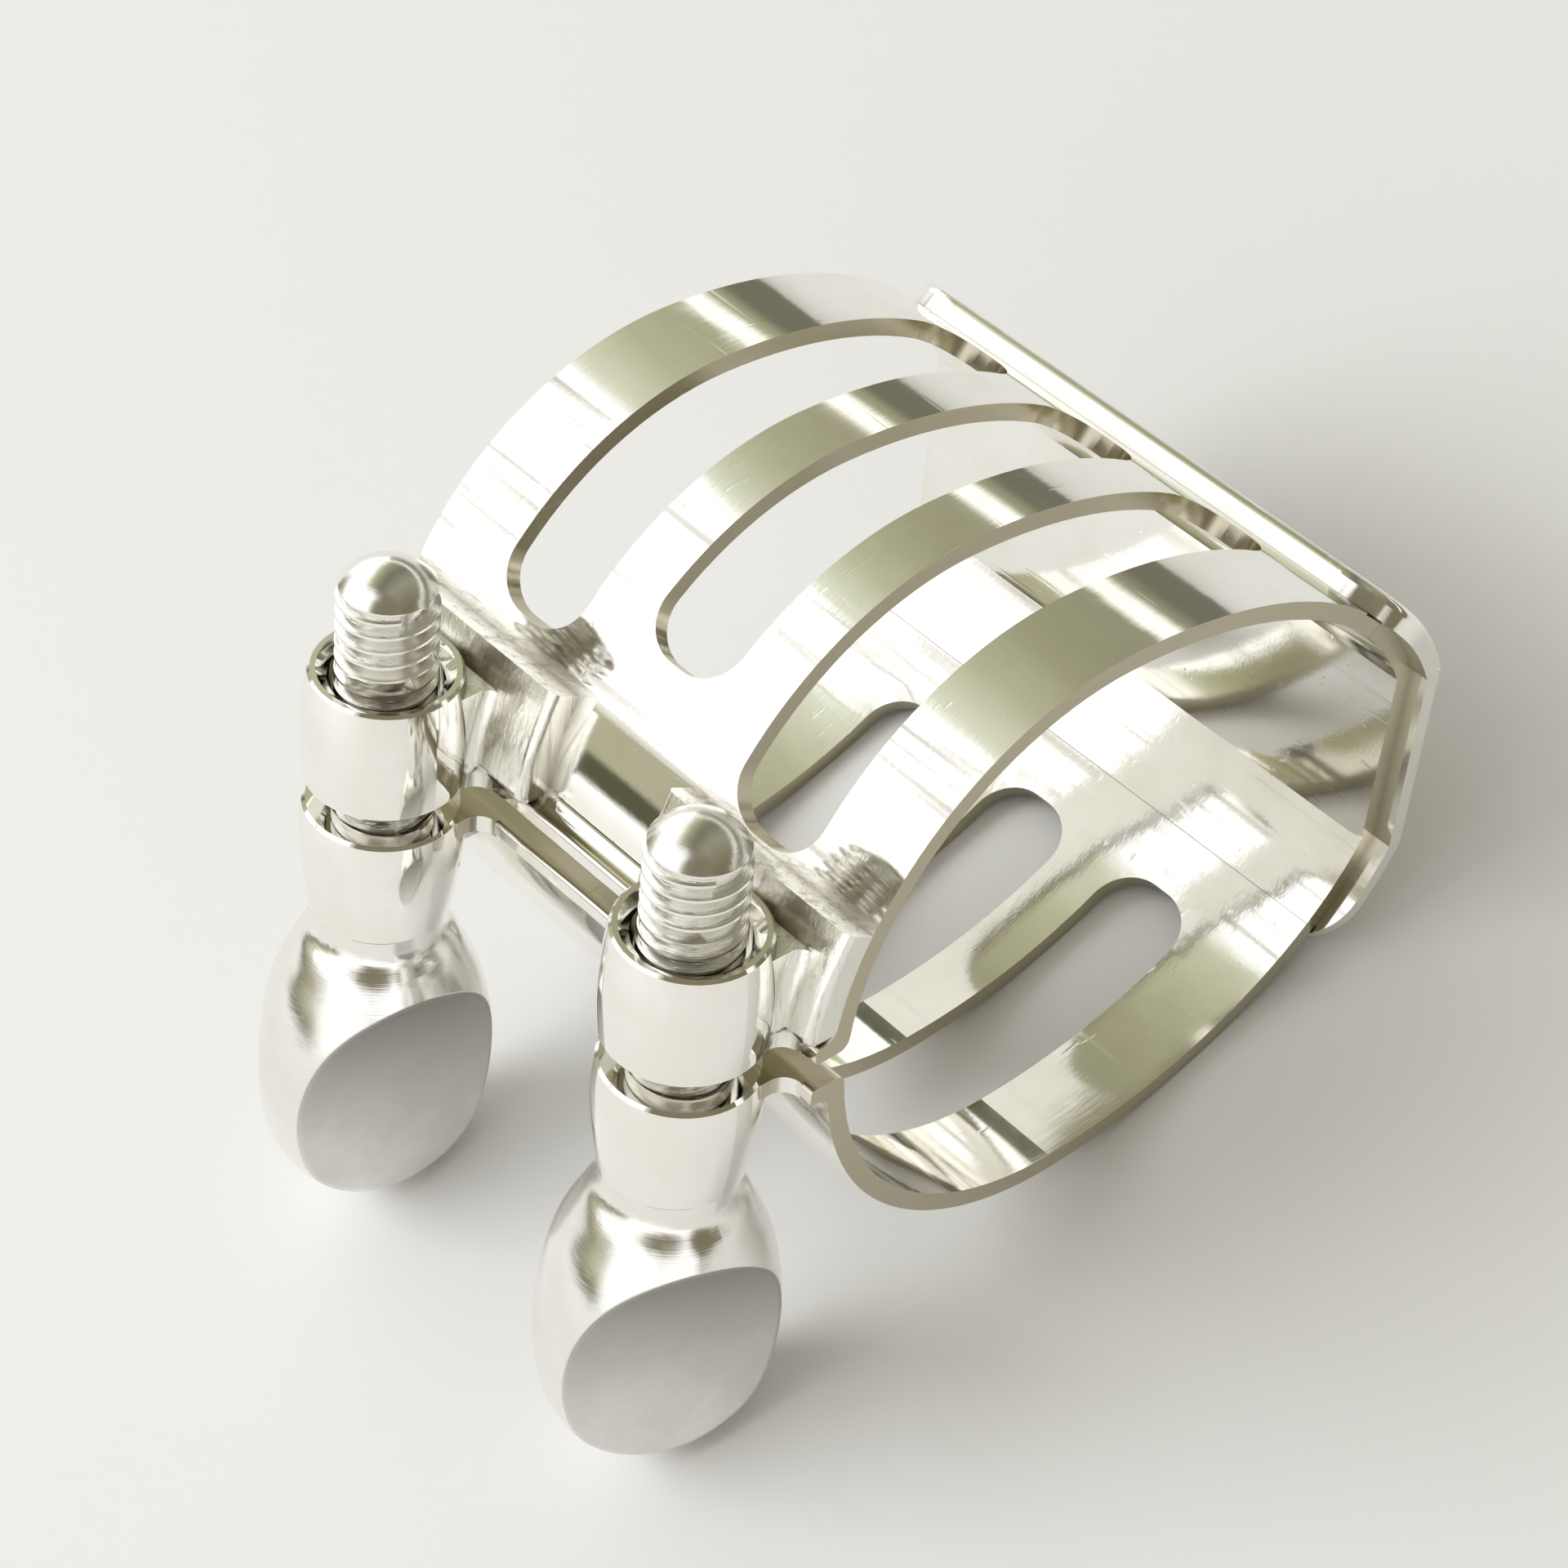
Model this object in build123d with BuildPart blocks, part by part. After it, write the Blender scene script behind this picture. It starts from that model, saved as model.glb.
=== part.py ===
from build123d import *
from math import acos, atan2, cos, degrees, hypot, radians, sin, sqrt
import os

os.makedirs("parts", exist_ok=True)

# ---------------------------------------------------------------------------
# Driving dimensions (mm)
# Ligature axes used while modelling: X along the mouthpiece bore, from the tip
# side to the shank side; Z along the clamping screws, thumb heads down;
# -Y is the screw side and +Y the reed side. The origin is the bore centre.
# ---------------------------------------------------------------------------
REST_TILT = 20.46         # roll about the bore that lets the heads and the band touch the ground

SHEET = 0.7               # band sheet thickness
BORE_R = 10.9             # inner radius of the round half of the band
BAND_R = BORE_R + SHEET   # outer radius of the round half
REED_OUT = 16.0           # outer half width of the band on the reed side
REED_IN = REED_OUT - SHEET
HALF_LEN = 11.65          # half the band length along the bore
GAP = 1.15                # gap between the two jaws, screws half tightened
LIP_REACH = 12.3          # distance of the turned-out lip from the bore axis
LIP_TOP = 1.25            # height of the top of the lip above the split plane
NOSE = 0.15               # rounding of the lip's outer edges
LIP_FILLET = 0.6          # concave bend between the lip and the round flank
LIP_INNER = 0.45          # rounding where the bore turns out into the lip

SLOT_W = 3.9              # slot width
SLOT_PITCH = 6.25         # slot spacing along the bore
SLOT_START = (31.4, 40.6, 27.0)   # where each slot starts, degrees up from the split plane
SLOT_END_Y, SLOT_END_Z = 10.9, 8.45   # where all slots end, on the outer surface
SLOT_CORNER = 1.65        # rounding of the slot ends

SEAM_T = 37.0             # ellipse parameter where the flank ends, under the reed plate
PANEL_T = 36.5            # ellipse parameter where the reed panel starts
RELIEF = 0.08             # clearance of the flank under the edge of the plate
RELIEF_T = 42.2           # ellipse parameter where that relief starts
FLAT_IN = 14.40           # inner flat of the reed side, distance from the bore axis
FLAT_MID = 15.10          # outer flat of the reed panel
FLAT_OUT = 16.00          # outer flat of the reed plate
PLATE = 0.9               # reed plate thickness
PLATE_HALF = 12.4         # half length of the reed plate along the bore
PLATE_CORNER = 2.6        # corner radius of the plate
PLATE_T = 41.6            # ellipse parameter of the long edges of the plate

SCREW_X = 7.85            # screws sit this far each side of the middle
SCREW_Y = -14.57          # screw axes, distance from the bore axis
THREAD_R = 1.75           # M3.5 thread
THREAD_DEPTH = 0.34
THREAD_PITCH = 0.6
CORE_R = THREAD_R - THREAD_DEPTH
RIDGE_START = 37.0        # where round the screw the thread starts, degrees
THREAD_FROM, THREAD_TO = -4.4, 8.55
TIP_Z = 9.4               # top of the domed screw end
DOME_R = 1.66             # radius at the foot of the dome
SHOULDER_Z = -5.26        # shoulder of the thumb head
HEAD_Z = -18.1            # bottom of the thumb head
HEAD_R = 4.2
DISH_R = 14.0             # hollow of the two thumb faces
DISH_N = 1.5              # half the web left between them
DISH_Z = -14.3
FRONT_TURN, REAR_TURN = -9.0, -19.0   # how far each head is turned about its screw

BARREL_TOP = 5.06
BARREL_LOW = -5.2
UPPER_BORE = 1.97         # bore of the upper barrel, over the thread crests
LOWER_BORE = 1.82         # running bore of the lower barrel

SADDLE_HALF = 5.0         # half width of the saddle on the band
SADDLE_T = 1.2            # how far the saddle stands out of the band
SADDLE_PHI = 26.3         # the saddle's top, degrees up from the split plane
WEB_HALF = 2.35           # half width of the upper webs beside the barrel
WEB_HALF_LOW = 1.0        # the same for the lower webs, which are narrow and have no saddle
WEB_TOP_LOW = 3.6         # how far down the lower webs reach
FLARE_HALF_LOW = 2.6      # half width over which the lower lip runs out to a barrel
WEB_ROUND_LOW = 0.45
LIP_FLARE = 0.7           # concave corner at the edge of the lip
WEB_TOP = 4.55
WEB_FLARE = 0.5           # blend between the web and the saddle

REST = Location((0, 0, 0), (-REST_TILT, 0, 0))


def on_ellipse(a, b, t):
    return (a * cos(radians(t)), b * sin(radians(t)))


def chord(r, z):
    """Half width of a circle at height z."""
    return sqrt(r * r - z * z)


def on_circle(r, phi):
    """Point on the round half, phi degrees up from the split plane."""
    return (-r * cos(radians(phi)), r * sin(radians(phi)))


def phi_of(p):
    """Angle up from the split plane of a point on the round half."""
    return degrees(atan2(p[1], -p[0]))


def round_to(p0, c, p1, r):
    """Short arc of radius r about c, from p0 to p1."""
    dx, dy = p0[0] + p1[0] - 2 * c[0], p0[1] + p1[1] - 2 * c[1]
    k = r / hypot(dx, dy)
    return ThreePointArc(p0, (c[0] + k * dx, c[1] + k * dy), p1)


# centres and tangent points of the two roundings between the round flank and its lip
bore_c = (-chord(BORE_R + LIP_INNER, GAP / 2 + LIP_INNER), GAP / 2 + LIP_INNER)
bore_from = tuple(v * BORE_R / (BORE_R + LIP_INNER) for v in bore_c)
bend_c = (-chord(BAND_R + LIP_FILLET, LIP_TOP + LIP_FILLET), LIP_TOP + LIP_FILLET)
bend_to = tuple(v * BAND_R / (BAND_R + LIP_FILLET) for v in bend_c)

def screw_plane(x):
    return Plane(origin=(x, SCREW_Y, 0), x_dir=(1, 0, 0), z_dir=(0, -1, 0))


def screw_axis(x):
    return Axis((x, SCREW_Y, 0), (0, 0, 1))


def dish_plane(x, turn):
    """Plane whose normal lies along a thumb face, across the screw."""
    a = radians(turn)
    return Plane(origin=(x, SCREW_Y, DISH_Z), x_dir=(cos(a), sin(a), 0), z_dir=(-sin(a), cos(a), 0))


upper_outline = [(2.76, GAP / 2 + 0.12), (2.85, 2.2), (2.78, 3.8), (2.64, BARREL_TOP - 0.10)]
lower_outline = [(2.76, -GAP / 2 - 0.12), (2.85, -1.7), (2.78, -3.1), (2.66, -4.1), (2.50, BARREL_LOW + 0.10)]


def upper_half(bore):
    """Half section of the upper barrel; bore 0 gives the blank."""
    Spline(*upper_outline)
    if bore:
        Polyline(
            upper_outline[-1],
            (2.54, BARREL_TOP),
            (bore + 0.38, BARREL_TOP),
            (bore, BARREL_TOP - 0.38),
            (bore, GAP / 2 + 0.15),
            (bore + 0.15, GAP / 2),
            (2.64, GAP / 2),
            upper_outline[0],
        )
    else:
        Polyline(upper_outline[-1], (2.54, BARREL_TOP), (0, BARREL_TOP), (0, GAP / 2), (2.64, GAP / 2), upper_outline[0])


def lower_half(bore):
    """Half section of the lower barrel; bore 0 gives the blank."""
    Spline(*lower_outline)
    if bore:
        Polyline(
            lower_outline[-1],
            (2.42, BARREL_LOW),
            (bore + 0.10, BARREL_LOW),
            (bore, BARREL_LOW + 0.10),
            (bore, -GAP / 2 - 0.06),
            (bore + 0.06, -GAP / 2),
            (2.64, -GAP / 2),
            lower_outline[0],
        )
    else:
        Polyline(lower_outline[-1], (2.42, BARREL_LOW), (0, BARREL_LOW), (0, -GAP / 2), (2.64, -GAP / 2), lower_outline[0])


# ---------------------------------------------------------------------------
# Slot cutters: one wedge per slot, its ends rounded
# ---------------------------------------------------------------------------
slot_cutters = []
end_dir = (0.60, 0.80)
for i in range(3):
    x_mid = (i - 1) * SLOT_PITCH
    with BuildPart() as slot_cutter:
        with BuildSketch(Plane.YZ.offset(x_mid - SLOT_W / 2)) as wedge:
            with BuildLine():
                Polyline(
                    on_circle(8.5, SLOT_START[i]),
                    on_circle(16.0, SLOT_START[i]),
                    (-8.0, 19.0),
                    (SLOT_END_Y + 8 * end_dir[0], SLOT_END_Z + 8 * end_dir[1]),
                    (SLOT_END_Y - 3 * end_dir[0], SLOT_END_Z - 3 * end_dir[1]),
                    (0.0, 7.0),
                    close=True,
                )
            make_face()
        extrude(amount=SLOT_W)
        start_edges = slot_cutter.edges().filter_by(
            lambda e: abs(e.length - 7.5) < 1e-3 and abs(e.tangent_at(0.5).X) < 1e-6
        )
        far_edges = slot_cutter.edges().filter_by(
            lambda e: abs(e.length - 11.0) < 1e-3 and abs(e.tangent_at(0.5).X) < 1e-6
        )
        fillet(start_edges, SLOT_CORNER)
        fillet(far_edges, SLOT_CORNER)
    slot_cutters.append(slot_cutter.part)


# ---------------------------------------------------------------------------
# Band flanks: round flank, turned-out lip, three slots; the lips are let in
# round the barrels
# ---------------------------------------------------------------------------
with BuildPart() as flank_blank:
    with BuildSketch(Plane.YZ.offset(-HALF_LEN)) as flank_section:
        with BuildLine():
            # bore corner, underside of the lip, nose, top of the lip, bend into the flank
            round_to(bore_from, (bore_c[0], bore_c[1]), (bore_c[0], GAP / 2), LIP_INNER)
            Line((bore_c[0], GAP / 2), (-LIP_REACH + NOSE, GAP / 2))
            round_to((-LIP_REACH + NOSE, GAP / 2), (-LIP_REACH + NOSE, GAP / 2 + NOSE), (-LIP_REACH, GAP / 2 + NOSE), NOSE)
            Line((-LIP_REACH, GAP / 2 + NOSE), (-LIP_REACH, LIP_TOP - NOSE))
            round_to((-LIP_REACH, LIP_TOP - NOSE), (-LIP_REACH + NOSE, LIP_TOP - NOSE), (-LIP_REACH + NOSE, LIP_TOP), NOSE)
            Line((-LIP_REACH + NOSE, LIP_TOP), (bend_c[0], LIP_TOP))
            round_to((bend_c[0], LIP_TOP), bend_c, bend_to, LIP_FILLET)
            CenterArc((0, 0), BAND_R, 90, 90 - phi_of(bend_to))
            EllipticalCenterArc((0, 0), REED_OUT, BAND_R, start_angle=RELIEF_T, arc_size=90 - RELIEF_T)
            Line(on_ellipse(REED_OUT, BAND_R, RELIEF_T), on_ellipse(REED_OUT - RELIEF, BAND_R - RELIEF, RELIEF_T))
            EllipticalCenterArc(
                (0, 0), REED_OUT - RELIEF, BAND_R - RELIEF, start_angle=SEAM_T, arc_size=RELIEF_T - SEAM_T
            )
            Line(on_ellipse(REED_OUT - RELIEF, BAND_R - RELIEF, SEAM_T), on_ellipse(REED_IN, BORE_R, SEAM_T))
            EllipticalCenterArc((0, 0), REED_IN, BORE_R, start_angle=SEAM_T, arc_size=90 - SEAM_T)
            CenterArc((0, 0), BORE_R, 90, 90 - phi_of(bore_from))
        make_face()
    extrude(amount=2 * HALF_LEN)
    for cutter in slot_cutters:
        add(cutter, mode=Mode.SUBTRACT)

with BuildPart() as band_upper_flank:
    add(flank_blank.part)
    with BuildSketch(screw_plane(-SCREW_X)):
        with BuildLine():
            upper_half(0)
        make_face()
    revolve(axis=screw_axis(-SCREW_X), mode=Mode.SUBTRACT)
    with BuildSketch(screw_plane(SCREW_X)):
        with BuildLine():
            upper_half(0)
        make_face()
    revolve(axis=screw_axis(SCREW_X), mode=Mode.SUBTRACT)

def flare_lines(x, w):
    """Plan of the concave corners where the edge of a lip runs out to a barrel."""
    lip, far = -LIP_REACH, -LIP_REACH - LIP_FLARE
    round_to((x - w - LIP_FLARE, lip), (x - w - LIP_FLARE, far), (x - w, far), LIP_FLARE)
    Polyline((x - w, far), (x - w, far - 0.4), (x + w, far - 0.4), (x + w, far))
    round_to((x + w, far), (x + w + LIP_FLARE, far), (x + w + LIP_FLARE, lip), LIP_FLARE)
    Polyline(
        (x + w + LIP_FLARE, lip),
        (x + w + LIP_FLARE, lip + 0.25),
        (x - w - LIP_FLARE, lip + 0.25),
        (x - w - LIP_FLARE, lip),
    )


with BuildPart() as band_lower_flank:
    mirror(flank_blank.part, about=Plane.XY)
    with BuildSketch(Plane.XY.offset(-LIP_TOP)):
        with BuildLine():
            flare_lines(-SCREW_X, FLARE_HALF_LOW)
        make_face()
        with BuildLine():
            flare_lines(SCREW_X, FLARE_HALF_LOW)
        make_face()
    extrude(amount=LIP_TOP - GAP / 2)
    with BuildSketch(screw_plane(-SCREW_X)):
        with BuildLine():
            lower_half(0)
        make_face()
    revolve(axis=screw_axis(-SCREW_X), mode=Mode.SUBTRACT)
    with BuildSketch(screw_plane(SCREW_X)):
        with BuildLine():
            lower_half(0)
        make_face()
    revolve(axis=screw_axis(SCREW_X), mode=Mode.SUBTRACT)

# ---------------------------------------------------------------------------
# Reed side of the band: the flattened, unslotted strip between the two flex lines
# ---------------------------------------------------------------------------
t_mid = degrees(acos(FLAT_MID / REED_OUT))
t_in = degrees(acos(FLAT_IN / REED_IN))
with BuildPart() as band_reed_panel:
    with BuildSketch(Plane.YZ.offset(-HALF_LEN)):
        with BuildLine():
            EllipticalCenterArc((0, 0), REED_OUT, BAND_R, start_angle=t_mid, arc_size=PANEL_T - t_mid)
            Line(on_ellipse(REED_OUT, BAND_R, t_mid), on_ellipse(REED_OUT, BAND_R, -t_mid))
            EllipticalCenterArc((0, 0), REED_OUT, BAND_R, start_angle=-PANEL_T, arc_size=PANEL_T - t_mid)
            Line(on_ellipse(REED_OUT, BAND_R, -PANEL_T), on_ellipse(REED_IN, BORE_R, -PANEL_T))
            EllipticalCenterArc((0, 0), REED_IN, BORE_R, start_angle=-PANEL_T, arc_size=PANEL_T - t_in)
            Line(on_ellipse(REED_IN, BORE_R, -t_in), on_ellipse(REED_IN, BORE_R, t_in))
            EllipticalCenterArc((0, 0), REED_IN, BORE_R, start_angle=t_in, arc_size=PANEL_T - t_in)
            Line(on_ellipse(REED_IN, BORE_R, PANEL_T), on_ellipse(REED_OUT, BAND_R, PANEL_T))
        make_face()
    extrude(amount=2 * HALF_LEN)

# ---------------------------------------------------------------------------
# Reed plate: thicker outer plate with rounded ends, soldered over the panel
# ---------------------------------------------------------------------------
plate_y, plate_z = REED_OUT + PLATE, BAND_R + PLATE
t_out = degrees(acos(FLAT_OUT / plate_y))
with BuildPart() as reed_plate:
    with BuildSketch(Plane.YZ.offset(-PLATE_HALF)):
        with BuildLine():
            EllipticalCenterArc((0, 0), plate_y, plate_z, start_angle=t_out, arc_size=PLATE_T - t_out)
            Line(on_ellipse(plate_y, plate_z, t_out), on_ellipse(plate_y, plate_z, -t_out))
            EllipticalCenterArc((0, 0), plate_y, plate_z, start_angle=-PLATE_T, arc_size=PLATE_T - t_out)
            Line(on_ellipse(plate_y, plate_z, -PLATE_T), on_ellipse(REED_OUT, BAND_R, -PLATE_T))
            EllipticalCenterArc((0, 0), REED_OUT, BAND_R, start_angle=-PLATE_T, arc_size=PLATE_T - t_mid)
            Line(on_ellipse(REED_OUT, BAND_R, -t_mid), on_ellipse(REED_OUT, BAND_R, t_mid))
            EllipticalCenterArc((0, 0), REED_OUT, BAND_R, start_angle=t_mid, arc_size=PLATE_T - t_mid)
            Line(on_ellipse(REED_OUT, BAND_R, PLATE_T), on_ellipse(plate_y, plate_z, PLATE_T))
        make_face()
    extrude(amount=2 * PLATE_HALF)
    ends = reed_plate.edges().filter_by(lambda e: e.length < 1.2 and abs(e.center().Z) > 7 and abs(e.tangent_at(0.5).X) < 1e-6)
    fillet(ends, PLATE_CORNER)
    rim = reed_plate.edges().filter_by(
        lambda e: all(
            hypot(v.Y / plate_y, v.Z / plate_z) > 0.985 or abs(v.Y - FLAT_OUT) < 1e-4 for v in e.vertices()
        )
    )
    rim = rim.filter_by(lambda e: not (abs(e.tangent_at(0.5).X) > 0.999 and abs(e.center().Y - FLAT_OUT) < 1e-3))
    fillet(rim, 0.35)

# ---------------------------------------------------------------------------
# Barrels: turned olives with a bore; the upper pair takes the thread, the
# lower pair guides the screw
# ---------------------------------------------------------------------------


with BuildPart() as upper_barrel_front:
    with BuildSketch(screw_plane(-SCREW_X)):
        with BuildLine():
            upper_half(UPPER_BORE)
        make_face()
    revolve(axis=screw_axis(-SCREW_X))

with BuildPart() as upper_barrel_rear:
    with BuildSketch(screw_plane(SCREW_X)):
        with BuildLine():
            upper_half(UPPER_BORE)
        make_face()
    revolve(axis=screw_axis(SCREW_X))

with BuildPart() as lower_barrel_front:
    with BuildSketch(screw_plane(-SCREW_X)):
        with BuildLine():
            lower_half(LOWER_BORE)
        make_face()
    revolve(axis=screw_axis(-SCREW_X))

with BuildPart() as lower_barrel_rear:
    with BuildSketch(screw_plane(SCREW_X)):
        with BuildLine():
            lower_half(LOWER_BORE)
        make_face()
    revolve(axis=screw_axis(SCREW_X))

# ---------------------------------------------------------------------------
# Posts: a saddle on the band and a web that carries the barrel
# ---------------------------------------------------------------------------
SADDLE_R = BAND_R + SADDLE_T
SADDLE_EDGE = 0.5
edge_c = (-chord(SADDLE_R - SADDLE_EDGE, LIP_TOP + SADDLE_EDGE), LIP_TOP + SADDLE_EDGE)
edge_to = tuple(v * SADDLE_R / (SADDLE_R - SADDLE_EDGE) for v in edge_c)


def saddle_lines():
    """Section of the saddle, from the lip up to its top."""
    Line(on_circle(11.2, SADDLE_PHI), on_circle(SADDLE_R, SADDLE_PHI))
    CenterArc((0, 0), SADDLE_R, 180 - SADDLE_PHI, SADDLE_PHI - phi_of(edge_to))
    round_to(edge_to, edge_c, (edge_c[0], LIP_TOP), SADDLE_EDGE)
    Polyline((edge_c[0], LIP_TOP), (-11.45, LIP_TOP), on_circle(11.2, SADDLE_PHI))


with BuildPart() as upper_blank_front:
    with BuildSketch(Plane.YZ.offset(-HALF_LEN)):
        with BuildLine():
            saddle_lines()
        make_face()
    extrude(amount=HALF_LEN - SCREW_X + SADDLE_HALF)
    ends = upper_blank_front.edges().filter_by(lambda e: abs(e.center().X) > 2 and abs(e.tangent_at(0.5).X) < 1e-6)
    ends = ends.filter_by(lambda e: hypot(e.center().Y, e.center().Z) > SADDLE_R - 0.7 and e.length > 2)
    fillet(ends, 0.35)
    with BuildSketch(Plane.XY.offset(GAP / 2)):
        with Locations((-SCREW_X, -12.6)):
            Rectangle(2 * WEB_HALF, 2.2)
    extrude(amount=WEB_TOP - GAP / 2)
    walls = upper_blank_front.edges().filter_by(
        lambda e: abs(abs(e.center().X - -SCREW_X) - WEB_HALF) < 1e-3 and 2.5 < e.length < 3.2 and -12.6 < e.center().Y < -12.0
    )
    fillet(walls, WEB_FLARE)
    with BuildSketch(Plane.XY.offset(GAP / 2)):
        with BuildLine():
            flare_lines(-SCREW_X, WEB_HALF)
        make_face()
    extrude(amount=LIP_TOP - GAP / 2)

with BuildPart() as upper_blank_rear:
    with BuildSketch(Plane.YZ.offset(SCREW_X - SADDLE_HALF)):
        with BuildLine():
            saddle_lines()
        make_face()
    extrude(amount=HALF_LEN - SCREW_X + SADDLE_HALF)
    ends = upper_blank_rear.edges().filter_by(lambda e: abs(e.center().X) > 2 and abs(e.tangent_at(0.5).X) < 1e-6)
    ends = ends.filter_by(lambda e: hypot(e.center().Y, e.center().Z) > SADDLE_R - 0.7 and e.length > 2)
    fillet(ends, 0.35)
    with BuildSketch(Plane.XY.offset(GAP / 2)):
        with Locations((SCREW_X, -12.6)):
            Rectangle(2 * WEB_HALF, 2.2)
    extrude(amount=WEB_TOP - GAP / 2)
    walls = upper_blank_rear.edges().filter_by(
        lambda e: abs(abs(e.center().X - SCREW_X) - WEB_HALF) < 1e-3 and 2.5 < e.length < 3.2 and -12.6 < e.center().Y < -12.0
    )
    fillet(walls, WEB_FLARE)
    with BuildSketch(Plane.XY.offset(GAP / 2)):
        with BuildLine():
            flare_lines(SCREW_X, WEB_HALF)
        make_face()
    extrude(amount=LIP_TOP - GAP / 2)

with BuildPart() as lower_blank_front:
    with BuildSketch(Plane.XY.offset(GAP / 2)):
        with Locations((-SCREW_X, -12.6)):
            Rectangle(2 * WEB_HALF_LOW, 2.2)
    extrude(amount=WEB_TOP_LOW - GAP / 2)
    with BuildSketch(Plane.XY.offset(LIP_TOP + 0.3)):
        with Locations((-SCREW_X, -12.3)):
            Rectangle(2 * WEB_HALF_LOW, 2.8)
    extrude(amount=WEB_TOP_LOW - LIP_TOP - 0.3)
    fillet(lower_blank_front.edges().filter_by(Axis.Y).group_by(Axis.Z)[-1], WEB_ROUND_LOW)

with BuildPart() as lower_blank_rear:
    with BuildSketch(Plane.XY.offset(GAP / 2)):
        with Locations((SCREW_X, -12.6)):
            Rectangle(2 * WEB_HALF_LOW, 2.2)
    extrude(amount=WEB_TOP_LOW - GAP / 2)
    with BuildSketch(Plane.XY.offset(LIP_TOP + 0.3)):
        with Locations((SCREW_X, -12.3)):
            Rectangle(2 * WEB_HALF_LOW, 2.8)
    extrude(amount=WEB_TOP_LOW - LIP_TOP - 0.3)
    fillet(lower_blank_rear.edges().filter_by(Axis.Y).group_by(Axis.Z)[-1], WEB_ROUND_LOW)

with BuildPart() as upper_post_front:
    add(upper_blank_front.part)
    add(band_upper_flank.part, mode=Mode.SUBTRACT)
    with BuildSketch(screw_plane(-SCREW_X)):
        with BuildLine():
            upper_half(0)
        make_face()
    revolve(axis=screw_axis(-SCREW_X), mode=Mode.SUBTRACT)

with BuildPart() as upper_post_rear:
    add(upper_blank_rear.part)
    add(band_upper_flank.part, mode=Mode.SUBTRACT)
    with BuildSketch(screw_plane(SCREW_X)):
        with BuildLine():
            upper_half(0)
        make_face()
    revolve(axis=screw_axis(SCREW_X), mode=Mode.SUBTRACT)

with BuildPart() as lower_post_front:
    mirror(lower_blank_front.part, about=Plane.XY)
    add(band_lower_flank.part, mode=Mode.SUBTRACT)
    with BuildSketch(screw_plane(-SCREW_X)):
        with BuildLine():
            lower_half(0)
        make_face()
    revolve(axis=screw_axis(-SCREW_X), mode=Mode.SUBTRACT)

with BuildPart() as lower_post_rear:
    mirror(lower_blank_rear.part, about=Plane.XY)
    add(band_lower_flank.part, mode=Mode.SUBTRACT)
    with BuildSketch(screw_plane(SCREW_X)):
        with BuildLine():
            lower_half(0)
        make_face()
    revolve(axis=screw_axis(SCREW_X), mode=Mode.SUBTRACT)

# ---------------------------------------------------------------------------
# Thumbscrews: turned in one piece, threaded shank, pear-shaped head with two
# hollowed thumb faces
# ---------------------------------------------------------------------------
head_outline = [
    (2.32, -5.9),
    (2.70, -6.7),
    (3.15, -7.6),
    (3.55, -8.5),
    (3.92, -9.8),
    (4.15, -11.5),
    (HEAD_R, -13.3),
    (4.00, -15.0),
    (3.42, -16.5),
    (2.20, -17.6),
    (0.0, HEAD_Z),
]


def screw_half():
    """Half section of the screw without its thread: core, shoulder and the pear-shaped head."""
    Polyline((0, HEAD_Z), (0, TIP_Z))
    ThreePointArc((0, TIP_Z), (1.05, TIP_Z - 0.30), (DOME_R, THREAD_TO))
    Polyline(
        (DOME_R, THREAD_TO),
        (DOME_R, THREAD_TO - 0.08),
        (CORE_R, THREAD_TO - 0.28),
        (CORE_R, THREAD_FROM + 0.1),
        (THREAD_R, THREAD_FROM - 0.2),
        (THREAD_R, SHOULDER_Z),
        (2.22, SHOULDER_Z),
        (2.30, SHOULDER_Z - 0.08),
        head_outline[0],
    )
    Spline(*head_outline, tangents=[(0.05, -1), (-1, -0.02)])


# the thread: one helical ridge, right-handed, its root let into the core
ROOT = 0.06
with BuildPart() as ridge:
    with BuildLine() as ridge_path:
        Helix(THREAD_PITCH, THREAD_TO - THREAD_FROM - 0.45, CORE_R - ROOT, center=(0, 0, THREAD_FROM + 0.12))
    with BuildSketch(Plane(origin=ridge_path.line @ 0, x_dir=(1, 0, 0), z_dir=ridge_path.line % 0)):
        with BuildLine():
            Polyline(
                (0, -0.26),
                (THREAD_DEPTH + ROOT, -0.05),
                (THREAD_DEPTH + ROOT, 0.05),
                (0, 0.26),
                close=True,
            )
        make_face()
    sweep(path=ridge_path.line, is_frenet=True)

with BuildPart() as thumbscrew_front:
    with BuildSketch(screw_plane(-SCREW_X)):
        with BuildLine():
            screw_half()
        make_face()
    revolve(axis=screw_axis(-SCREW_X))
    with Locations(Location((-SCREW_X, SCREW_Y, 0), (0, 0, RIDGE_START))):
        add(ridge.part)
    with BuildSketch(dish_plane(-SCREW_X, FRONT_TURN)):
        with Locations((DISH_N + DISH_R, 0), (-DISH_N - DISH_R, 0)):
            Circle(DISH_R)
    extrude(amount=6, both=True, mode=Mode.SUBTRACT)
    dish_rims = thumbscrew_front.edges().filter_by(lambda e: e.length > 8 and e.center().Z < -6)
    fillet(dish_rims, 0.2)

with BuildPart() as thumbscrew_rear:
    with BuildSketch(screw_plane(SCREW_X)):
        with BuildLine():
            screw_half()
        make_face()
    revolve(axis=screw_axis(SCREW_X))
    with Locations(Location((SCREW_X, SCREW_Y, 0), (0, 0, RIDGE_START))):
        add(ridge.part)
    with BuildSketch(dish_plane(SCREW_X, REAR_TURN)):
        with Locations((DISH_N + DISH_R, 0), (-DISH_N - DISH_R, 0)):
            Circle(DISH_R)
    extrude(amount=6, both=True, mode=Mode.SUBTRACT)
    dish_rims = thumbscrew_rear.edges().filter_by(lambda e: e.length > 8 and e.center().Z < -6)
    fillet(dish_rims, 0.2)

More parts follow.
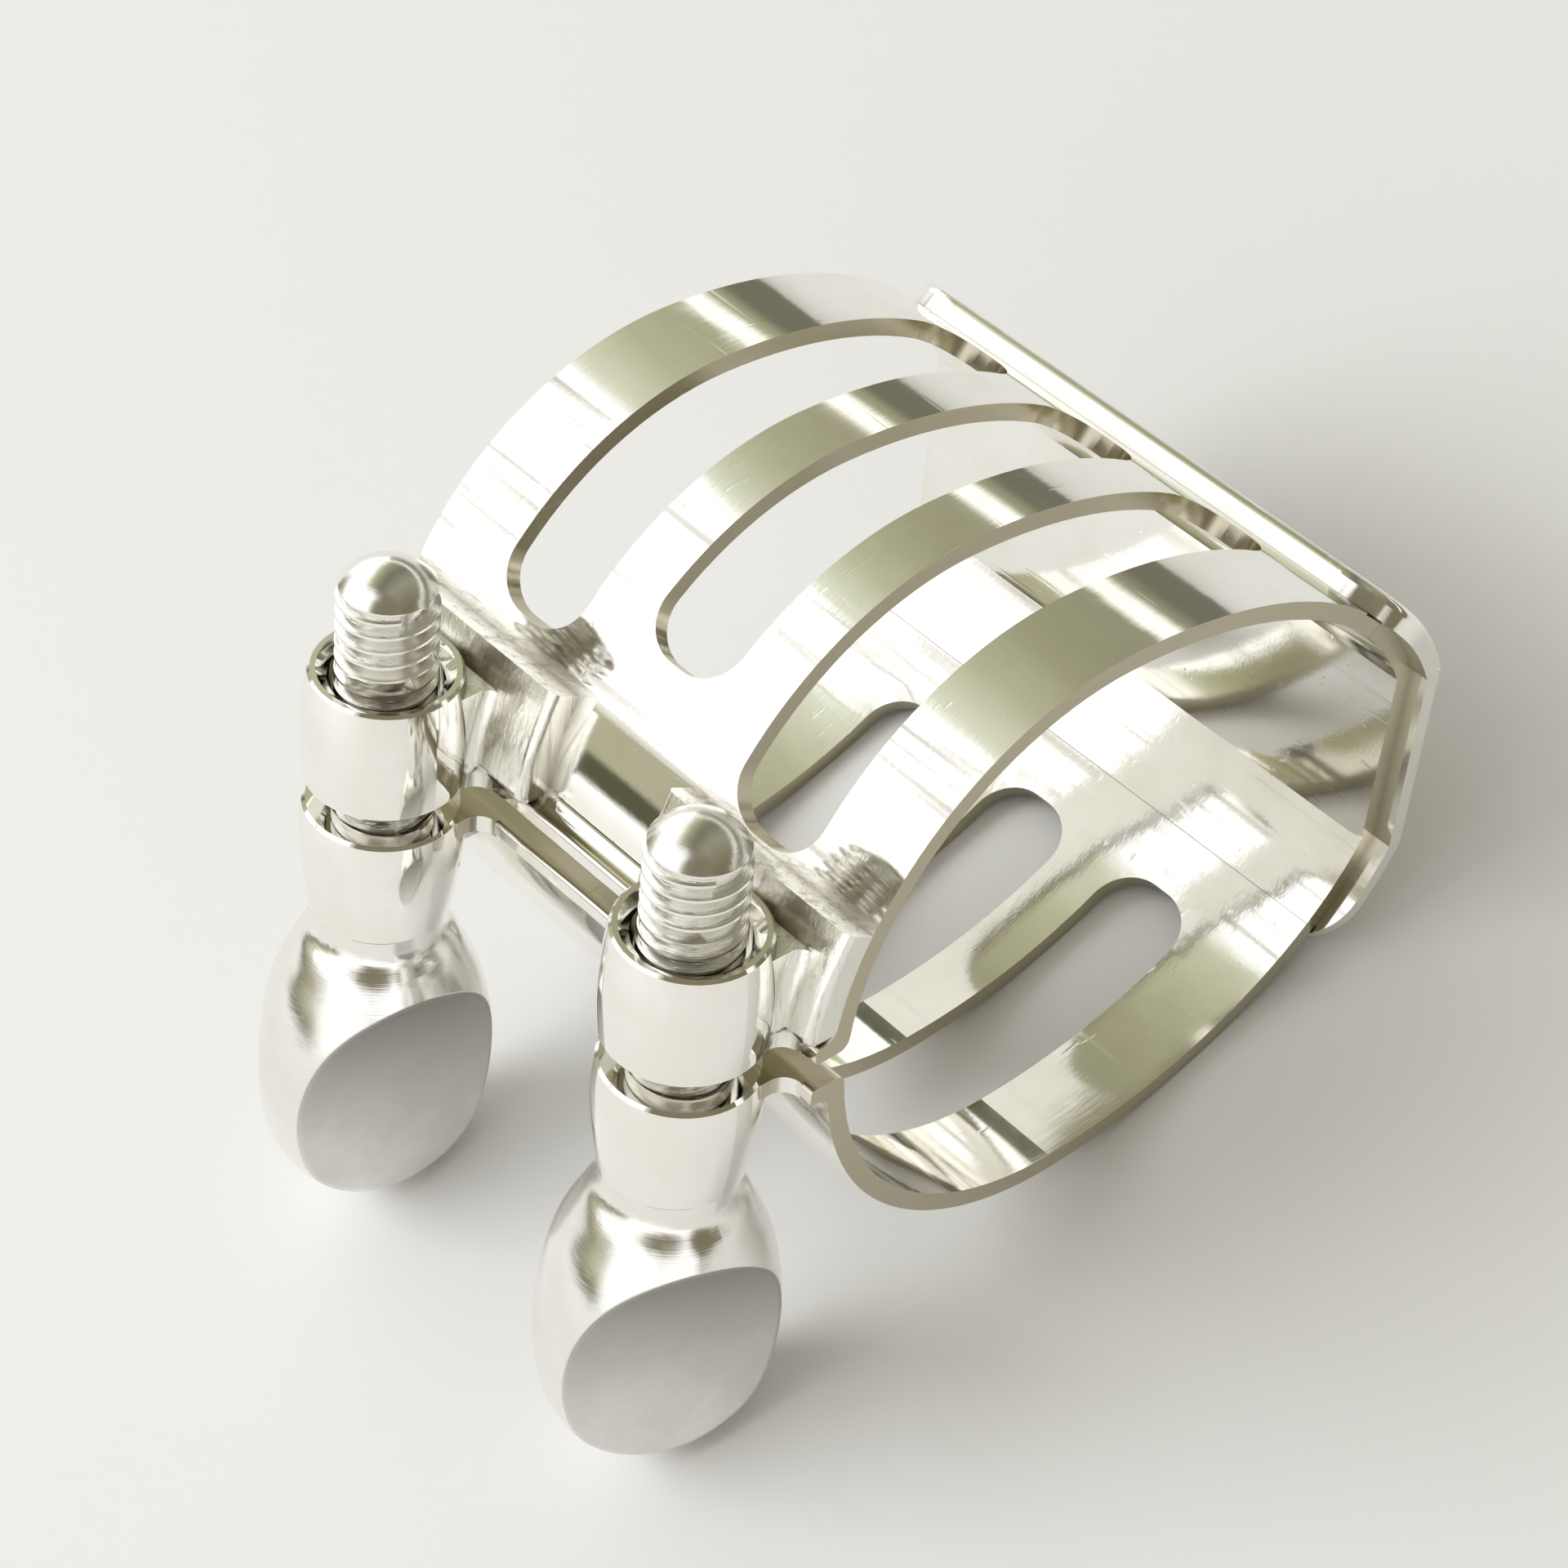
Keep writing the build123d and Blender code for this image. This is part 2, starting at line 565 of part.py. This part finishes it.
# ---------------------------------------------------------------------------
# Labels, resting attitude and files
# ---------------------------------------------------------------------------
band_upper_flank.part.label = "band_upper_flank"
band_lower_flank.part.label = "band_lower_flank"
band_reed_panel.part.label = "band_reed_panel"
reed_plate.part.label = "reed_plate"
upper_barrel_front.part.label = "upper_barrel_front"
upper_barrel_rear.part.label = "upper_barrel_rear"
lower_barrel_front.part.label = "lower_barrel_front"
lower_barrel_rear.part.label = "lower_barrel_rear"
upper_post_front.part.label = "upper_post_front"
upper_post_rear.part.label = "upper_post_rear"
lower_post_front.part.label = "lower_post_front"
lower_post_rear.part.label = "lower_post_rear"
thumbscrew_front.part.label = "thumbscrew_front"
thumbscrew_rear.part.label = "thumbscrew_rear"

pieces = [
    band_upper_flank, band_lower_flank, band_reed_panel, reed_plate,
    upper_barrel_front, upper_barrel_rear, lower_barrel_front, lower_barrel_rear,
    upper_post_front, upper_post_rear, lower_post_front, lower_post_rear,
    thumbscrew_front, thumbscrew_rear,
]
for piece in pieces:
    piece.part.location = REST
    export_step(piece.part, "parts/" + piece.part.label + ".step")
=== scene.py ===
import math

import bmesh
import bpy
from mathutils import Matrix, Vector


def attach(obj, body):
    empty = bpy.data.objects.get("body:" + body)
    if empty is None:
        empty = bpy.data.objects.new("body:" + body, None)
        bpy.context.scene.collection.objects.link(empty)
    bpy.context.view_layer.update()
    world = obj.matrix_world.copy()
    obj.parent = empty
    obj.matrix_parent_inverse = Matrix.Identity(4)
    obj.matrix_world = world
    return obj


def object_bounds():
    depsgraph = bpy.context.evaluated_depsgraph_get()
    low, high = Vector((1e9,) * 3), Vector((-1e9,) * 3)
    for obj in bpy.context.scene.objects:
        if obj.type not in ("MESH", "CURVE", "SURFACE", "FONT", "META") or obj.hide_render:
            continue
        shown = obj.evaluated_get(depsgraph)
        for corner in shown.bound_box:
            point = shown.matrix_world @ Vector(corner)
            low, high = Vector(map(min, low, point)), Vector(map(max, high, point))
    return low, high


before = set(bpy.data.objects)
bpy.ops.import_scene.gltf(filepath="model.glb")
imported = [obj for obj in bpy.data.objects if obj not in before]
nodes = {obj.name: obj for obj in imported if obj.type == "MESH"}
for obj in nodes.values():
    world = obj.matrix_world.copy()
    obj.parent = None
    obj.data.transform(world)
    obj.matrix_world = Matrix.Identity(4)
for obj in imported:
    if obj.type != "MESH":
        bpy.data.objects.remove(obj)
cad_lo, cad_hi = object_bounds()

# The ligature lies rolled about its bore by this angle; "lig" turns a direction given in the
# ligature's own axes (screws along Z, reed side +Y) into the row frame, and so with a point,
# because both have their origin at the bore's centre.
ROLL = math.radians(20.46)
SCREW_X = 0.00785             # the two screw axes stand at plus and minus this, metres
SCREW_Y = -0.01457
HEAD_TURN = {"front": math.radians(-9.0), "rear": math.radians(-19.0)}
# the dished thumb faces, millimetres: radius, centre height and half the web between them
DISH_R, DISH_Z, DISH_N = 14.0, -14.3, 1.5
HEAD_TOP = -7.2               # the faces end below this height, millimetres
AO_REACH = 0.0011             # how far into a corner the painted shade reaches, metres
MM_PER_M = 1000.0


def lig(x, y, z):
    c, s = math.cos(ROLL), math.sin(ROLL)
    return Vector((x, y * c + z * s, -y * s + z * c))


# ---------------------------------------------------------------------------
# Small node helpers
# ---------------------------------------------------------------------------
class Graph:
    def __init__(self, tree):
        self.tree = tree
        self.nodes = tree.nodes
        self.nodes.clear()

    def new(self, kind, inputs=None, **props):
        n = self.nodes.new(kind)
        for k, v in props.items():
            setattr(n, k, v)
        for k, v in (inputs or {}).items():
            self.put(n.inputs[k], v)
        return n

    def put(self, socket, value):
        if isinstance(value, bpy.types.NodeSocket):
            self.tree.links.new(value, socket)
        else:
            socket.default_value = value

    def math(self, op, a, b=0.0, c=0.0, clamp=False):
        n = self.new("ShaderNodeMath", operation=op, use_clamp=clamp)
        for i, v in enumerate((a, b, c)):
            self.put(n.inputs[i], v)
        return n.outputs[0]

    def ramp(self, value, stops):
        n = self.new("ShaderNodeValToRGB", {"Fac": value})
        r = n.color_ramp
        while len(r.elements) < len(stops):
            r.elements.new(0.5)
        for e, (pos, col) in zip(r.elements, stops):
            e.position = pos
            e.color = (*col, 1.0)
        return n.outputs["Color"]

    def span(self, value, lo, hi, to_lo, to_hi):
        """value from lo..hi to to_lo..to_hi, held at the ends."""
        ends = {"From Min": lo, "From Max": hi, "To Min": to_lo, "To Max": to_hi}
        return self.new("ShaderNodeMapRange", {"Value": value, **ends}).outputs["Result"]

    def noise(self, vector, scale, detail, roughness=0.5, distortion=0.0):
        settings = {"Scale": scale, "Detail": detail, "Roughness": roughness}
        settings["Distortion"] = distortion
        return self.new("ShaderNodeTexNoise", {"Vector": vector, **settings}).outputs["Fac"]

    def mapped(self, vector, rotation=(0, 0, 0), scale=(1, 1, 1)):
        settings = {"Rotation": rotation, "Scale": scale}
        return self.new("ShaderNodeMapping", {"Vector": vector, **settings}).outputs["Vector"]

    def vector(self, operation, a, b=(0.0, 0.0, 0.0)):
        return self.new("ShaderNodeVectorMath", {0: a, 1: b}, operation=operation).outputs

    def mix(self, fac, a, b):
        n = self.new("ShaderNodeMix", data_type="RGBA")
        self.put(n.inputs["Factor"], fac)
        self.put(n.inputs["A"], a)
        self.put(n.inputs["B"], b)
        return n.outputs["Result"]


def silver(name, tint, rough, grain_axis, grain_scale, grain_depth, wave_depth,
           corner_shade=0.6, streaks=0.0, cut_edges=False, axis_x=0.0, satin_turn=None):
    """Silver plate: polished sheet or turned metal with polishing lines, fine scratches,
    slow waviness of the sheet and painted shade darkening the corners. A "ring" grain runs
    round the screw axis at axis_x. streaks adds file marks, cut_edges dulls the sawn edges of
    the sheet, and satin_turn blasts the thumbscrew's two dished faces, which are turned
    by that angle and carry painted shade, darker towards the neck."""
    mat = bpy.data.materials.new(name)
    mat.use_nodes = True
    g = Graph(mat.node_tree)
    out = g.new("ShaderNodeOutputMaterial")
    bsdf = g.new("ShaderNodeBsdfPrincipled")
    g.tree.links.new(bsdf.outputs["BSDF"], out.inputs["Surface"])
    source = g.new("ShaderNodeTexCoord")
    # into the ligature's own axes
    turn = g.mapped(source.outputs["Object"], rotation=(ROLL, 0, 0))
    place = g.new("ShaderNodeSeparateXYZ", {"Vector": turn})

    # slow waviness
    waves = g.noise(turn, 130.0, 1.5, 0.4)
    # polishing lines: noise stretched along the polishing direction; on a turned surface
    # they vary only along its profile
    if grain_axis == "ring":
        dx = g.math("SUBTRACT", place.outputs["X"], axis_x)
        dy = g.math("SUBTRACT", place.outputs["Y"], SCREW_Y)
        radius = g.math("SQRT", g.math("MULTIPLY_ADD", dx, dx, g.math("MULTIPLY", dy, dy)))
        profile = g.math("SUBTRACT", place.outputs["Z"], radius)
        stretched = g.new("ShaderNodeCombineXYZ", {"Z": profile}).outputs["Vector"]
    else:
        stretch = {"x": (0.04, 1, 1), "y": (1, 0.04, 1), "z": (1, 1, 0.04)}[grain_axis]
        stretched = g.mapped(turn, scale=stretch)
    grain = g.noise(stretched, grain_scale, 4.0, 0.65)
    # hairline scratches from handling, in two directions
    hair_a = g.noise(g.mapped(turn, (0.4, 0.9, 0.3), (0.05, 1, 1)), 2600.0, 2.0)
    hair_b = g.noise(g.mapped(turn, (1.3, 0.2, 1.1), (1, 0.05, 1)), 2100.0, 2.0)
    hair_a = g.span(hair_a, 0.66, 0.72, 0.0, 1.0)
    hair_b = g.span(hair_b, 0.67, 0.73, 0.0, 1.0)
    hairs = g.math("MAXIMUM", hair_a, hair_b, clamp=True)
    # smudges and slight cloudiness
    cloud = g.noise(turn, 380.0, 5.0, 0.6)

    # painted shade: the colour darkens in the corners that ambient occlusion finds
    ao = g.new("ShaderNodeAmbientOcclusion", {"Distance": AO_REACH}, samples=6)
    corner = g.span(ao.outputs["AO"], 0.25, 0.85, corner_shade, 0.0)
    clean = (*tint, 1.0)
    dull = (tint[0] * 0.80, tint[1] * 0.76, tint[2] * 0.66, 1.0)
    # the colour of the painted shade in the corners
    dark = (0.30, 0.265, 0.18, 1.0)
    thin_plate = (0.33, 0.29, 0.20, 1.0)
    raw_edge = (0.47, 0.42, 0.28, 1.0)
    body = g.mix(g.span(cloud, 0.42, 0.80, 0.0, 0.35), clean, dull)
    r = g.span(cloud, 0.3, 0.75, rough * 0.75, rough * 1.5)
    r = g.math("ADD", r, g.math("MULTIPLY", hairs, 0.05))
    r = g.math("ADD", r, g.math("MULTIPLY", corner, 0.15))
    height = g.math("MULTIPLY", grain, grain_depth)
    height = g.math("SUBTRACT", height, g.math("MULTIPLY", hairs, 1.0e-6))
    height = g.math("ADD", height, g.math("MULTIPLY", waves, wave_depth))

    if streaks:
        # coarse file marks along the grain, dark where the plating is thin
        marks = g.noise(stretched, grain_scale * 0.35, 5.0, 0.7)
        body = g.mix(g.span(marks, 0.50, 0.72, 0.0, streaks), body, thin_plate)
        r = g.math("ADD", r, g.span(marks, 0.45, 0.70, 0.0, 0.14))
        height = g.math("ADD", height, g.math("MULTIPLY", marks, grain_depth * 2.5))
    if cut_edges:
        # the sawn edge looks across the sheet, not out from the bore
        section = g.vector("MULTIPLY", source.outputs["Object"], (0.0, 1.0, 1.0))["Vector"]
        outward = g.vector("NORMALIZE", section)["Vector"]
        facing = g.vector("DOT_PRODUCT", source.outputs["Normal"], outward)["Value"]
        sawn = g.span(g.math("ABSOLUTE", facing), 0.35, 0.55, 1.0, 0.0)
        body = g.mix(g.math("MULTIPLY", sawn, 0.8), body, raw_edge)
        r = g.math("ADD", r, g.math("MULTIPLY", sawn, 0.12))
    if satin_turn is not None:
        # distance from the dished face, in millimetres
        across = g.math("MULTIPLY", dy, math.sin(satin_turn))
        across = g.math("MULTIPLY_ADD", dx, math.cos(satin_turn), across)
        across = g.math("ABSOLUTE", g.math("MULTIPLY", across, MM_PER_M))
        along = g.math("MULTIPLY", place.outputs["Z"], MM_PER_M)
        along = g.math("ADD", along, -DISH_Z)
        drop = g.math("SQRT", g.math("SUBTRACT", DISH_R**2, g.math("MULTIPLY", along, along)))
        dish = g.math("SUBTRACT", DISH_R + DISH_N, drop)
        off = g.math("ABSOLUTE", g.math("SUBTRACT", across, dish))
        head = g.math("LESS_THAN", along, HEAD_TOP - DISH_Z)
        face = g.math("MULTIPLY", g.span(off, 0.05, 0.09, 1.0, 0.0), head)
        peen = g.noise(turn, 9000.0, 3.0, 0.6)
        # painted shade: the blasted faces are light at the head's end and turn dark towards
        # the neck, standing in for the shaded floor they mirror; the mottle on top is the
        # finish's own uneven tone
        low, high = (0.88, 0.875, 0.855, 1.0), (0.36, 0.345, 0.32, 1.0)
        mottle = (0.46, 0.455, 0.44, 1.0)
        satin_and_painted_shade = g.mix(g.span(along, -3.0, 6.0, 0.0, 1.0), low, high)
        satin_and_painted_shade = g.mix(g.span(cloud, 0.35, 0.75, 0.0, 0.35), satin_and_painted_shade, mottle)
        body = g.mix(face, body, satin_and_painted_shade)
        r = g.math("ADD", r, g.math("MULTIPLY", face, 0.30))
        peen = g.math("MULTIPLY", peen, face)
        height = g.math("ADD", height, g.math("MULTIPLY", peen, 6.0e-6))

    # the painted corner shade goes into the colour here
    g.put(bsdf.inputs["Base Color"], g.mix(corner, body, dark))
    bsdf.inputs["Metallic"].default_value = 1.0
    g.put(bsdf.inputs["Roughness"], r)
    bump = g.new("ShaderNodeBump", {"Height": height, "Strength": 1.0, "Distance": 1.0})
    g.put(bsdf.inputs["Normal"], bump.outputs["Normal"])
    return mat


TINT = (0.955, 0.945, 0.905)
SCREW_TINT = (0.93, 0.92, 0.89)
# tint, roughness, grain, lines per metre, depth of the lines and of the waves in metres
sheet = silver("silver_sheet", TINT, 0.06, "y", 5200.0, 1.0e-6, 20.0e-6, cut_edges=True)
plate = silver("silver_plate_outer", TINT, 0.08, "x", 4600.0, 1.2e-6, 16.0e-6)
# the posts get the deepest painted shade in their corners
posts = silver("silver_filed_post", TINT, 0.14, "z", 6500.0, 6.0e-6, 10.0e-6,
               corner_shade=0.85, streaks=0.85)


def coat(name, material):
    slots = nodes[name].data.materials
    slots.clear()
    slots.append(material)


for name in ("band_upper_flank", "band_lower_flank", "band_reed_panel"):
    coat(name, sheet)
coat("reed_plate", plate)
for end, x in (("front", -SCREW_X), ("rear", SCREW_X)):
    barrel = silver("silver_barrel_" + end, TINT, 0.06, "ring", 16000.0, 0.7e-6, 3.0e-6,
                    corner_shade=0.12, axis_x=x)
    screw = silver("silver_screw_" + end, SCREW_TINT, 0.15, "ring", 11000.0, 4.8e-6, 3.0e-6,
                   corner_shade=0.25, axis_x=x, satin_turn=HEAD_TURN[end])
    for side in ("upper", "lower"):
        coat(f"{side}_post_{end}", posts)
        coat(f"{side}_barrel_{end}", barrel)
    coat("thumbscrew_" + end, screw)

# ---------------------------------------------------------------------------
# The band is one sheet, but its CAD nodes leave a slit at each flex line. A strip of the
# same curved sheet fills the slit and stays with the reed side.
# ---------------------------------------------------------------------------
SHEET_IN = (0.0153, 0.0109)       # half axes of the ellipse inside the sheet, metres
SHEET_OUT = (0.0160, 0.0116)      # and outside it
INSET = 0.000006                  # the strip lies this much under both faces
SLIT_FROM = math.radians(36.5)    # ellipse parameters: at the reed side's own edge,
SLIT_TO = math.radians(36.925)    # and short of the flank's, which leaves it room to flex
STRIP_HALF = 0.01165              # half the band's length
STRIP_STEPS = 6


def on_sheet(axes, inset, t):
    return (axes[0] + inset) * math.cos(t), (axes[1] + inset) * math.sin(t)


def flex_strip(name, side):
    width = SLIT_TO - SLIT_FROM
    turns = [SLIT_FROM + width * i / STRIP_STEPS for i in range(STRIP_STEPS + 1)]
    section = [on_sheet(SHEET_IN, INSET, t) for t in turns]
    section += [on_sheet(SHEET_OUT, -INSET, t) for t in reversed(turns)]
    count = len(section)
    points = [lig(x, y, side * z) for x in (-STRIP_HALF, STRIP_HALF) for y, z in section]
    faces = [(i, (i + 1) % count, (i + 1) % count + count, i + count) for i in range(count)]
    faces += [tuple(range(count)), tuple(range(count, 2 * count))]
    mesh = bpy.data.meshes.new(name)
    mesh.from_pydata(points, [], faces)
    shape = bmesh.new()
    shape.from_mesh(mesh)
    bmesh.ops.recalc_face_normals(shape, faces=shape.faces)
    shape.to_mesh(mesh)
    shape.free()
    strip = bpy.data.objects.new(name, mesh)
    bpy.context.scene.collection.objects.link(strip)
    strip.data.materials.append(sheet)
    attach(strip, "reed_side")


flex_strip("flex_strip_upper", 1)
flex_strip("flex_strip_lower", -1)

# ---------------------------------------------------------------------------
# Floor, light and camera
# ---------------------------------------------------------------------------
FLOOR_SIZE = 3.0
FLOOR_DROP = 0.00002          # how far the floor lies under the lowest point, metres
LENS_MM, SENSOR_MM = 98.0, 36.0

bpy.context.scene.view_settings.view_transform = "Standard"
floor_place = (0, 0, cad_lo.z - FLOOR_DROP)
bpy.ops.mesh.primitive_plane_add(size=FLOOR_SIZE, location=floor_place)
floor = bpy.context.object
floor.name = "studio_floor"
fmat = bpy.data.materials.new("studio_paper")
fmat.use_nodes = True
fb = fmat.node_tree.nodes["Principled BSDF"]
fb.inputs["Base Color"].default_value = (0.86, 0.86, 0.86, 1)
fb.inputs["Roughness"].default_value = 0.9
fb.inputs["Specular IOR Level"].default_value = 0.1
floor.data.materials.append(fmat)

# The room: a white light tent in front and to the left, with a few creases in it, open to
# an olive-grey room behind and to the right
world = bpy.data.worlds.new("studio")
bpy.context.scene.world = world
world.use_nodes = True
g = Graph(world.node_tree)
wout = g.new("ShaderNodeOutputWorld")
bg = g.new("ShaderNodeBackground")
g.tree.links.new(bg.outputs[0], wout.inputs["Surface"])
direction = g.new("ShaderNodeTexCoord").outputs["Generated"]
axis = g.new("ShaderNodeSeparateXYZ", {"Vector": direction})
wob = g.math("SUBTRACT", g.noise(direction, 2.2, 2.0), 0.5)
edge = g.math("MULTIPLY_ADD", axis.outputs["X"], 2.8, axis.outputs["Y"])
edge = g.math("ADD", edge, g.math("MULTIPLY", wob, 0.30))
room = g.ramp(g.span(edge, -1.5, 3.0, 0.0, 1.0), [
    (0.022, (0.80, 0.82, 0.68)),
    (0.050, (0.64, 0.66, 0.50)),
    (0.090, (0.48, 0.49, 0.335)),
    (0.150, (0.35, 0.345, 0.22)),
    (0.320, (0.17, 0.165, 0.125)),
    (0.560, (0.33, 0.32, 0.24)),
    (0.900, (0.19, 0.17, 0.105)),
])
# behind: dark at the floor's edge, then a bright strip
behind = g.span(axis.outputs["Y"], 0.45, 0.60, 0.0, 1.0)
foot = g.math("MULTIPLY", behind, g.span(axis.outputs["Z"], 0.15, 0.11, 0.0, 1.0))
room = g.mix(foot, room, (0.17, 0.165, 0.12, 1.0))
strip_low = g.span(axis.outputs["Z"], 0.17, 0.20, 0.0, 1.0)
strip_high = g.span(axis.outputs["Z"], 0.28, 0.25, 0.0, 1.0)
strip = g.math("MULTIPLY", strip_low, strip_high)
room = g.mix(g.math("MULTIPLY", behind, strip), room, (1.25, 1.22, 1.12, 1.0))
# the tent and its creases
tent_left = g.span(edge, -1.37, -1.43, 0.0, 1.0)
tent_front = g.math("MULTIPLY_ADD", wob, 0.25, axis.outputs["Y"])
tent_front = g.span(tent_front, 0.0, -0.12, 0.0, 1.0)
crease = g.noise(direction, 4.6, 1.0, distortion=2.2)
crease = g.span(g.math("ABSOLUTE", g.math("SUBTRACT", crease, 0.5)), 0.010, 0.024, 1.0, 0.0)
cloth = g.mix(crease, (1.35, 1.35, 1.35, 1.0), (0.55, 0.53, 0.46, 1.0))
room = g.mix(g.math("MAXIMUM", tent_left, tent_front), room, cloth)
# the tent's opening on the viewer's side, and the dim room beyond it
opening = g.vector("DOT_PRODUCT", direction, (0.537, -0.283, 0.794))["Value"]
opening = g.span(g.math("MULTIPLY_ADD", wob, 0.10, opening), 0.84, 0.91, 0.0, 1.0)
room = g.mix(opening, room, (0.22, 0.195, 0.135, 1.0))
# low in front on the left, the table's dark edge under the tent
left = g.span(axis.outputs["X"], -0.05, -0.25, 0.0, 1.0)
front = g.span(axis.outputs["Y"], 0.1, -0.1, 0.0, 1.0)
near_floor = g.span(axis.outputs["Z"], 0.36, 0.30, 0.0, 1.0)
skirt_rise = g.span(axis.outputs["Z"], 0.10, 0.13, 0.0, 1.0)
skirt = g.mix(skirt_rise, (0.10, 0.10, 0.06, 1.0), (0.46, 0.44, 0.31, 1.0))
room = g.mix(g.math("MULTIPLY", g.math("MULTIPLY", left, front), near_floor), room, skirt)
# seen directly, past the floor's edge, the room is a plain pale backdrop
seen = g.new("ShaderNodeLightPath").outputs["Is Camera Ray"]
g.put(bg.inputs["Color"], g.mix(seen, room, (0.74, 0.74, 0.72, 1.0)))
bg.inputs["Strength"].default_value = 1.0


def area(name, direction, distance, size, power):
    d = Vector(direction).normalized()
    data = bpy.data.lights.new(name, "AREA")
    data.shape = "RECTANGLE"
    data.size, data.size_y = size
    data.energy = power
    ob = bpy.data.objects.new(name, data)
    bpy.context.scene.collection.objects.link(ob)
    ob.location = d * distance
    ob.rotation_mode = "QUATERNION"
    ob.rotation_quaternion = (-d).to_track_quat("-Z", "Y")
    ob.visible_glossy = False  # the silver reflects the tent itself


area("window", (-0.50, -0.60, 0.62), 0.6, (0.42, 0.34), 2.1)

# The photograph's viewpoint, in metres in the ligature's own axes, turned into the row frame,
# and looking at the middle of the ligature
eye = lig(0.078897, -0.083030, 0.094558)
up = lig(-0.534128, 0.388115, 0.751049)
aim = Vector((0.0, -0.003157, 0.000893))
look = (aim - eye).normalized()
right = look.cross(up).normalized()
true_up = right.cross(look)
cam_data = bpy.data.cameras.new("photo_camera")
cam_data.sensor_width = SENSOR_MM
cam_data.lens = LENS_MM
cam_data.clip_start, cam_data.clip_end = 0.005, 10.0
cam = bpy.data.objects.new("photo_camera", cam_data)
bpy.context.scene.collection.objects.link(cam)
cam.matrix_world = Matrix((
    (right.x, true_up.x, -look.x, eye.x),
    (right.y, true_up.y, -look.y, eye.y),
    (right.z, true_up.z, -look.z, eye.z),
    (0, 0, 0, 1),
))
bpy.context.scene.camera = cam
